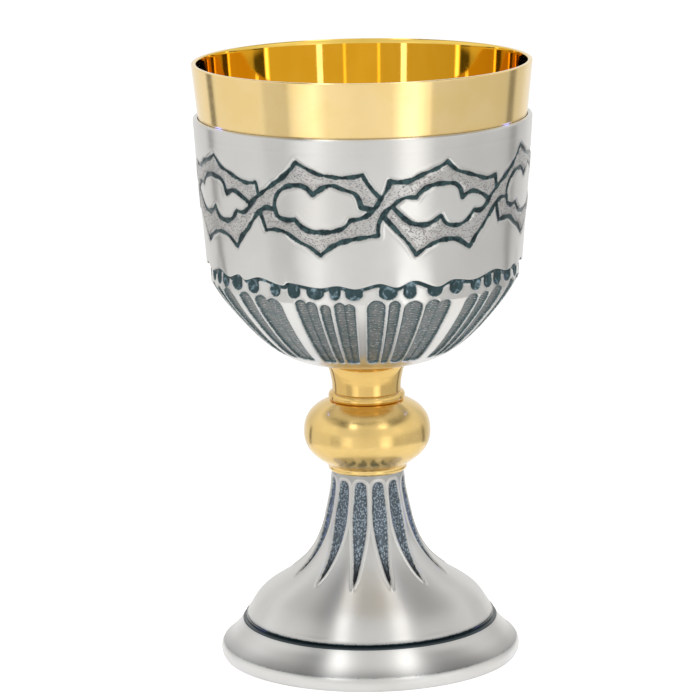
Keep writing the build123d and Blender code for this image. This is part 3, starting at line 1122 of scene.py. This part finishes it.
def hex_nut(material):
    """The hexagon nut, with chamfered corners and a countersunk hole."""
    bottom_z, top_z = limits("hex_nut")[:2]
    columns = 240
    half_flats = 6.5
    half_corners = half_flats / math.cos(math.radians(30))
    face_radius = half_flats - 0.1
    bore = 4.02
    countersink = 0.5
    sunk = bore + countersink
    chamfer = 0.6
    outline = section(stepped(
        (sunk, bottom_z), (face_radius, bottom_z, 0.5), (half_corners, bottom_z + chamfer, 0.2),
        (half_corners, top_z - chamfer, 1.0), (face_radius, top_z, 0.2), (sunk, top_z, 0.5),
        (bore, top_z - countersink, 0.5), (bore, bottom_z + countersink, 0.5), (sunk, bottom_z, 0.5),
    ))
    sixth = (np.degrees(column_angles(columns)[None, :]) % 60) - 30
    flat = half_flats / np.cos(np.radians(sixth))
    cut = np.minimum(outline[:, :1], flat) - outline[:, :1]
    mesh = turned_mesh("nut", outline, columns)
    points = np.zeros(len(mesh.vertices) * 3)
    mesh.vertices.foreach_get("co", points)
    points = points.reshape(len(outline), columns, 3)
    points[..., :2] *= (1 + cut / outline[:, :1])[..., None]
    mesh.vertices.foreach_set("co", points.ravel())
    mesh.update()
    mesh.set_sharp_from_angle(angle=math.radians(25))
    piece("nut", mesh, material, "steel", "hex_nut")


# ---- stage, light and camera

def stage_floor():
    """A round pale floor, seen only from above, past whose edge the knob mirrors the low part of the tent."""
    g = Graph("studio_floor")
    grain = g.noise(g.place((30.0, 30.0, 30.0)), 1.0, 2.0)
    seen = g.node("ShaderNodeLightPath").outputs["Is Camera Ray"]
    g.finish(
        Base_Color=g.mix(grain, (0.84, 0.84, 0.84, 1), (0.86, 0.86, 0.86, 1)), Roughness=0.9,
        Emission_Color=(1.0, 1.0, 1.0, 1.0), Emission_Strength=g.math("MULTIPLY_ADD", seen, 0.2, 0.3),
    )
    behind = g.node("ShaderNodeNewGeometry").outputs["Backfacing"]
    see_through = g.node("ShaderNodeBsdfTransparent").outputs[0]
    both = g.choose(behind, g.shader.outputs[0], see_through)
    g.feed(g.tree.nodes["Material Output"].inputs[0], both)
    floor_radius = 0.17
    sides = 96
    turns = [FULL_TURN * i / sides for i in range(sides)]
    mesh = bpy.data.meshes.new("studio_floor")
    corners = [(floor_radius * math.cos(t), floor_radius * math.sin(t), 0) for t in turns]
    mesh.from_pydata(corners, [], [range(sides)])
    mesh.materials.append(g.material)
    floor = bpy.data.objects.new("studio_floor", mesh)
    floor.location.z = cad_box[0].z
    bpy.context.scene.collection.objects.link(floor)


# Brightness of the studio tent round the upright axis, as (angle from the front, brightness).
# LOW, MIDDLE and HIGH are bands of height; their angle is twice that of the part of a round object that
# mirrors it. SECOND and BARS light only what bounces more than once, as inside the cup, between
# SECOND_FOOT and SECOND_TOP; their angle is the plain one. BARS says where SECOND gives way to BAR_COLOUR,
# which two bounces off gold turn white.
TENT_LOW = (
    (-180, 0.92), (-130, 0.9), (-127, 0.28), (-122, 0.28), (-119, 0.88), (-72, 0.9), (-69, 0.72),
    (-52, 0.68), (-50, 0.92), (-42, 1.25), (-33, 1.45), (-24, 1.02), (0, 0.93), (20, 0.98), (28, 1.6),
    (36, 1.75), (44, 1.2), (47, 1.05), (48, 0.74), (70, 0.7), (100, 0.68), (116, 0.64), (119, 0.3),
    (124, 0.3), (129, 0.72), (180, 0.92),
)
TENT_MIDDLE = (
    (-180, 0.62), (-140, 0.78), (-110, 1.0), (-60, 1.08), (-45, 0.9), (0, 0.82), (45, 1.05), (60, 1.15),
    (80, 0.98), (110, 0.93), (140, 0.68), (180, 0.62),
)
TENT_HIGH = (
    (-180, 0.6), (-125, 0.5), (-110, 0.55), (-96, 0.6), (-72, 0.6), (-62, 0.46), (-50, 0.28), (-40, 0.28),
    (-35, 0.9), (-31, 2.3), (-24, 2.5), (-18, 1.05), (-10, 0.92), (0, 0.86), (10, 1.0), (18, 1.0), (25, 2.1),
    (34, 2.5), (40, 0.85), (50, 0.42), (66, 0.35), (78, 0.42), (90, 0.5), (110, 0.52), (125, 0.46),
    (180, 0.6),
)
TENT_SECOND = (
    (-180, 0.9), (-158, 0.85), (-157, 2.0), (-155, 2.0), (-154, 0.85), (-43, 0.85), (-40, 3.0), (-37, 3.0),
    (-34, 0.1), (-18, 0.1), (-13, 0.6), (0, 0.7), (13, 0.6), (18, 0.1), (32, 0.1), (36, 3.0), (39, 3.0),
    (42, 0.7), (154, 0.8), (155, 2.0), (157, 2.0), (158, 0.85), (180, 0.9),
)
TENT_BARS = (
    (-180, 0.0), (-125, 0.0), (-124, 1.0), (-117, 1.0), (-116, 0.0), (-42, 0.0), (-40, 0.35), (-37, 0.35),
    (-35, 0.0), (34, 0.0), (36, 0.35), (39, 0.35), (41, 0.0), (116, 0.0), (117, 1.0), (124, 1.0), (125, 0.0),
    (180, 0.0),
)
BAR_COLOUR = (2.2, 3.3, 18.0, 1)
# Each pair is where one part of the tent gives way to the next, by upward or backward direction.
LOW_TO_MIDDLE = (-0.08, 0.12)
MIDDLE_TO_HIGH = (0.52, 0.7)
SECOND_FOOT = (0.07, 0.1)
SECOND_TOP = (0.28, 0.31)
BACK_FADE = (0.75, 0.92)
BACK_COLOUR = (0.9, 0.895, 0.885, 1)
TENT_TINT = (1.0, 0.995, 0.985)
BEHIND_THE_OBJECT = 1.05


def tent_ramp(g, share, stops):
    """A colour ramp of one part of the tent."""
    ramp = g.node("ShaderNodeValToRGB", Fac=share)
    elements = ramp.color_ramp.elements
    while len(elements) > 1:
        elements.remove(elements[0])
    for i, (degrees, value) in enumerate(stops):
        position = (degrees + 180) / 360
        stop = elements[0] if i == 0 else elements.new(position)
        stop.position = position
        stop.color = (*(value * part for part in TENT_TINT), 1)
    return ramp.outputs[0]


def tent_share(g, parts, forward_start, full_angle):
    """Position on a ramp of a direction's angle round the upright axis, the front in the middle."""
    forward = g.math("SUBTRACT", forward_start, parts.outputs["Y"])
    angle = g.math("ARCTAN2", parts.outputs["X"], forward)
    return g.node("ShaderNodeMapRange", Value=angle, From_Min=-full_angle, From_Max=full_angle).outputs[0]


def studio_tent():
    """World light: a pale tent with a few darker and brighter panels, plain white behind the object."""
    world = bpy.data.worlds.new("studio_tent")
    bpy.context.scene.world = world
    world.use_nodes = True
    world.node_tree.nodes.clear()
    g = Nodes(world.node_tree)
    direction = g.node("ShaderNodeTexCoord").outputs["Generated"]
    parts = g.node("ShaderNodeSeparateXYZ", Vector=direction)
    height = parts.outputs["Z"]
    mirrored = tent_share(g, parts, 1.0, math.pi / 2)
    plain_angle = tent_share(g, parts, 0.0, math.pi)
    low, middle, high = (tent_ramp(g, mirrored, stops) for stops in (TENT_LOW, TENT_MIDDLE, TENT_HIGH))
    second = tent_ramp(g, plain_angle, TENT_SECOND)
    bars = tent_ramp(g, plain_angle, TENT_BARS)
    second = g.mix(g.ramp(bars, 0.0, 1.0), second, BAR_COLOUR)
    path = g.node("ShaderNodeLightPath")
    once = g.mix(g.ramp(height, *LOW_TO_MIDDLE), low, middle)
    once = g.mix(g.ramp(height, *MIDDLE_TO_HIGH), once, high)
    once = g.mix(g.ramp(parts.outputs["Y"], *BACK_FADE), once, BACK_COLOUR)
    twice = g.mix(g.ramp(height, *SECOND_FOOT), once, second)
    twice = g.mix(g.ramp(height, *SECOND_TOP), twice, once)
    whole = g.mix(g.ramp(path.outputs["Glossy Depth"], 1.4, 1.6), once, twice)
    tent = g.node("ShaderNodeBackground", Color=whole).outputs[0]
    plain = g.node("ShaderNodeBackground", Color=(1, 1, 1, 1), Strength=BEHIND_THE_OBJECT).outputs[0]
    g.node("ShaderNodeOutputWorld", Surface=g.choose(path.outputs["Is Camera Ray"], tent, plain))


def top_light():
    """A wide soft light overhead, which keeps the floor pale."""
    data = bpy.data.lights.new("top_light", "AREA")
    data.shape = "SQUARE"
    data.size = 2.4
    data.energy = 4.0
    light = bpy.data.objects.new("top_light", data)
    light.location = (0, 0.2, 2.2)
    light.visible_glossy = False
    bpy.context.scene.collection.objects.link(light)


def camera():
    """A long lens a little above the rim, rolled slightly, which leans the chalice."""
    data = bpy.data.cameras.new("camera")
    data.sensor_width = 36.0
    data.lens = 190.27
    data.clip_start = 0.01
    data.clip_end = 50.0
    view = bpy.data.objects.new("camera", data)
    distance = 1.1545
    elevation = math.radians(12.11)
    target = Vector((0, 0, 0.0977))
    back = Vector((0, -math.cos(elevation), math.sin(elevation)))
    aim_left = 0.0050
    aim_down = 0.0007
    roll = math.radians(0.91)
    up = Vector((0, math.sin(elevation), math.cos(elevation)))
    view.location = target + back * distance
    aim = target - Vector((aim_left, 0, 0)) - up * aim_down
    look = (aim - view.location).to_track_quat("-Z", "Y")
    view.rotation_mode = "QUATERNION"
    view.rotation_quaternion = look @ Quaternion((0, 0, 1), -roll)
    bpy.context.scene.collection.objects.link(view)
    bpy.context.scene.camera = view


def dress(material, slot, *names):
    """Gives CAD nodes a better material."""
    for name in names:
        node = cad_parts[name]
        node.data.materials.clear()
        node.data.materials.append(material)


gilt = gold_plate("polished_gold_plate", STEM_GOLD, STEM_GOLD_DEEP, 0.19, 0.7, 0.02)
neck_gold = gold_plate("polished_gold_neck", NECK_GOLD, NECK_GOLD_DEEP, 0.12, 0.7, 0.02)
steel = plain_metal("zinc_steel", colour(205, 206, 208), colour(180, 184, 190), 0.3, 0.1)
brass = plain_metal("turned_brass", colour(224, 196, 130), colour(206, 172, 104), 0.28, 0.15)
cup(
    gold_plate("polished_gold_lip", GOLD, GOLD_DEEP, 0.14, 0.9, 0.01),
    gold_plate("polished_gold_inside", INSIDE_GOLD, INSIDE_GOLD_DEEP, 0.035, 0.0, 0.004),
)
neck(neck_gold)
bead(neck_gold)
knob(gilt)
collar(gilt)
chased_wall()
fluted_bowl()
foot_bell()
base_ring()
dress(brass, "turned_brass", "cup_boss", "knob_spacer_tube", "stem_top_plate")
dress(steel, "steel", "clamp_washer", "lock_washer")
tie_rod(steel)
hex_nut(steel)
stage_floor()
studio_tent()
top_light()
camera()
bpy.context.scene.view_settings.view_transform = "Standard"
